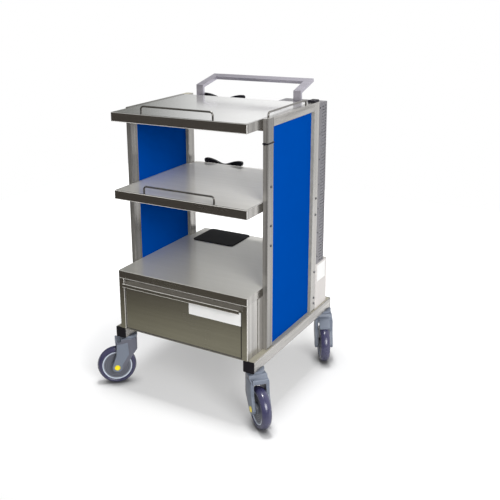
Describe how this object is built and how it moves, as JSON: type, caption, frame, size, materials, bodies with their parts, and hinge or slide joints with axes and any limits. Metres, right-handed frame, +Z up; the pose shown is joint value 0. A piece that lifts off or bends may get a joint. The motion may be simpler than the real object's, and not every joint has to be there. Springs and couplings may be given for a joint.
{
  "type": "medical equipment trolley",
  "caption": "Stainless-steel equipment trolley with shelves, a drawer, blue side panels, a louvred service column, a push handle and braked swivel casters.",
  "frame": {"origin": "on the floor, at the middle of the footprint's bounding box", "axes": "+Z up; the drawer and the shelves' front edges face -Y; the right side, with the service column, is +X"},
  "size_m": [0.6236, 0.5859, 0.9432],
  "materials": {
    "stainless_steel": "satin, folded sheet and tube",
    "blue_enamel": "smooth semi-gloss powder coat",
    "grey_steel": "satin powder coat",
    "handle_steel": "fine brushed",
    "plated_steel": "bright zinc plate",
    "black_plastic": "smooth moulded",
    "mat_rubber": "matt, fine grain",
    "caster_grey": "moulded, fine grain",
    "hub_grey": "moulded",
    "tyre_grey": "grey tread, matt",
    "cap_yellow": "glossy moulded",
    "label_white": "blank plate, satin",
    "socket_grey": "moulded"
  },
  "bodies": {
    "chassis": {"base_rail_left": "stainless_steel", "base_rail_right": "stainless_steel", "cross_tubes": "stainless_steel", "post_front_left": "stainless_steel", "post_front_right": "stainless_steel", "post_rear_left": "stainless_steel", "post_rear_right": "stainless_steel", "top_side_rails": "stainless_steel", "top_shelf": "stainless_steel", "mid_shelf": "stainless_steel", "cabinet_top": "stainless_steel", "cabinet_body": "stainless_steel", "shelf_rail_top_front": "stainless_steel", "shelf_rail_mid_front": "stainless_steel", "shelf_rail_top_right": "stainless_steel", "side_panel_left": "blue_enamel", "side_panel_right": "blue_enamel", "column_shell": "grey_steel", "column_vent_panel": "grey_steel", "service_box": "grey_steel", "transformer": "grey_steel", "push_handle": "handle_steel", "drawer_runners": "plated_steel", "frame_screws": "plated_steel", "rail_end_plugs": "black_plastic", "post_cap": "black_plastic", "cable_cleat_top": "black_plastic", "cable_cleat_mid": "black_plastic", "mains_inlet": "black_plastic", "rubber_mat": "mat_rubber", "socket_strip": "socket_grey", "socket_modules": "socket_grey", "caster_housings": "caster_grey"},
    "drawer": {"drawer_box": "stainless_steel", "drawer_front": "stainless_steel", "drawer_slides": "plated_steel", "label_plate": "label_white"},
    "slide_middles": {"drawer_mid_rails": "plated_steel"},
    "caster_front_left": {"fork_front_left": "caster_grey", "axle_front_left": "plated_steel", "axle_caps_front_left": "cap_yellow"},
    "wheel_front_left": {"wheel_hub_front_left": "hub_grey", "tyre_front_left": "tyre_grey"},
    "caster_front_right": {"fork_front_right": "caster_grey", "axle_front_right": "plated_steel", "axle_caps_front_right": "cap_yellow"},
    "wheel_front_right": {"wheel_hub_front_right": "hub_grey", "tyre_front_right": "tyre_grey"},
    "caster_rear_left": {"fork_rear_left": "caster_grey", "axle_rear_left": "plated_steel", "axle_caps_rear_left": "caster_grey"},
    "wheel_rear_left": {"wheel_hub_rear_left": "hub_grey", "tyre_rear_left": "tyre_grey"},
    "pedal_rear_left": {"brake_pedal_rear_left": "caster_grey"},
    "caster_rear_right": {"fork_rear_right": "caster_grey", "axle_rear_right": "plated_steel", "axle_caps_rear_right": "caster_grey"},
    "wheel_rear_right": {"wheel_hub_rear_right": "hub_grey", "tyre_rear_right": "tyre_grey"},
    "pedal_rear_right": {"brake_pedal_rear_right": "caster_grey"}
  },
  "joints": [
    {"name": "drawer_slide", "type": "slide", "parent": "chassis", "child": "drawer", "axis": [0, -1, 0], "range_m": [0, 0.32]},
    {"name": "slide_middles_travel", "type": "slide", "parent": "chassis", "child": "slide_middles", "axis": [0, -1, 0], "range_m": [0, 0.162]},
    {"name": "swivel_front_left", "type": "hinge", "parent": "chassis", "child": "caster_front_left", "pos_m": [-0.2285, -0.2181, 0.164], "axis": [0, 0, 1], "continuous": true},
    {"name": "wheel_front_left_spin", "type": "hinge", "parent": "caster_front_left", "child": "wheel_front_left", "pos_m": [-0.2602, -0.24565, 0.0625], "axis": [0.6561, -0.7547, 0], "continuous": true},
    {"name": "swivel_front_right", "type": "hinge", "parent": "chassis", "child": "caster_front_right", "pos_m": [0.2285, -0.2181, 0.164], "axis": [0, 0, 1], "continuous": true},
    {"name": "wheel_front_right_spin", "type": "hinge", "parent": "caster_front_right", "child": "wheel_front_right", "pos_m": [0.2602, -0.24565, 0.0625], "axis": [0.6561, 0.7547, 0], "continuous": true},
    {"name": "swivel_rear_left", "type": "hinge", "parent": "chassis", "child": "caster_rear_left", "pos_m": [-0.2285, 0.2649, 0.164], "axis": [0, 0, 1], "continuous": true},
    {"name": "wheel_rear_left_spin", "type": "hinge", "parent": "caster_rear_left", "child": "wheel_rear_left", "pos_m": [-0.24286, 0.22543, 0.0625], "axis": [0.9397, -0.342, 0], "continuous": true},
    {"name": "brake_rear_left", "type": "hinge", "parent": "caster_rear_left", "child": "pedal_rear_left", "pos_m": [-0.2415, 0.22919, 0.144], "axis": [-0.9397, 0.342, 0], "range_deg": [0, 12]},
    {"name": "swivel_rear_right", "type": "hinge", "parent": "chassis", "child": "caster_rear_right", "pos_m": [0.2285, 0.2649, 0.164], "axis": [0, 0, 1], "continuous": true},
    {"name": "wheel_rear_right_spin", "type": "hinge", "parent": "caster_rear_right", "child": "wheel_rear_right", "pos_m": [0.25013, 0.2289, 0.0625], "axis": [0.8572, 0.515, 0], "continuous": true},
    {"name": "brake_rear_right", "type": "hinge", "parent": "caster_rear_right", "child": "pedal_rear_right", "pos_m": [0.24807, 0.23233, 0.144], "axis": [-0.8572, -0.515, 0], "range_deg": [0, 12]}
  ],
  "couplings": [
    {"joint": "slide_middles_travel", "follows": "drawer_slide", "ratio": 0.5}
  ]
}
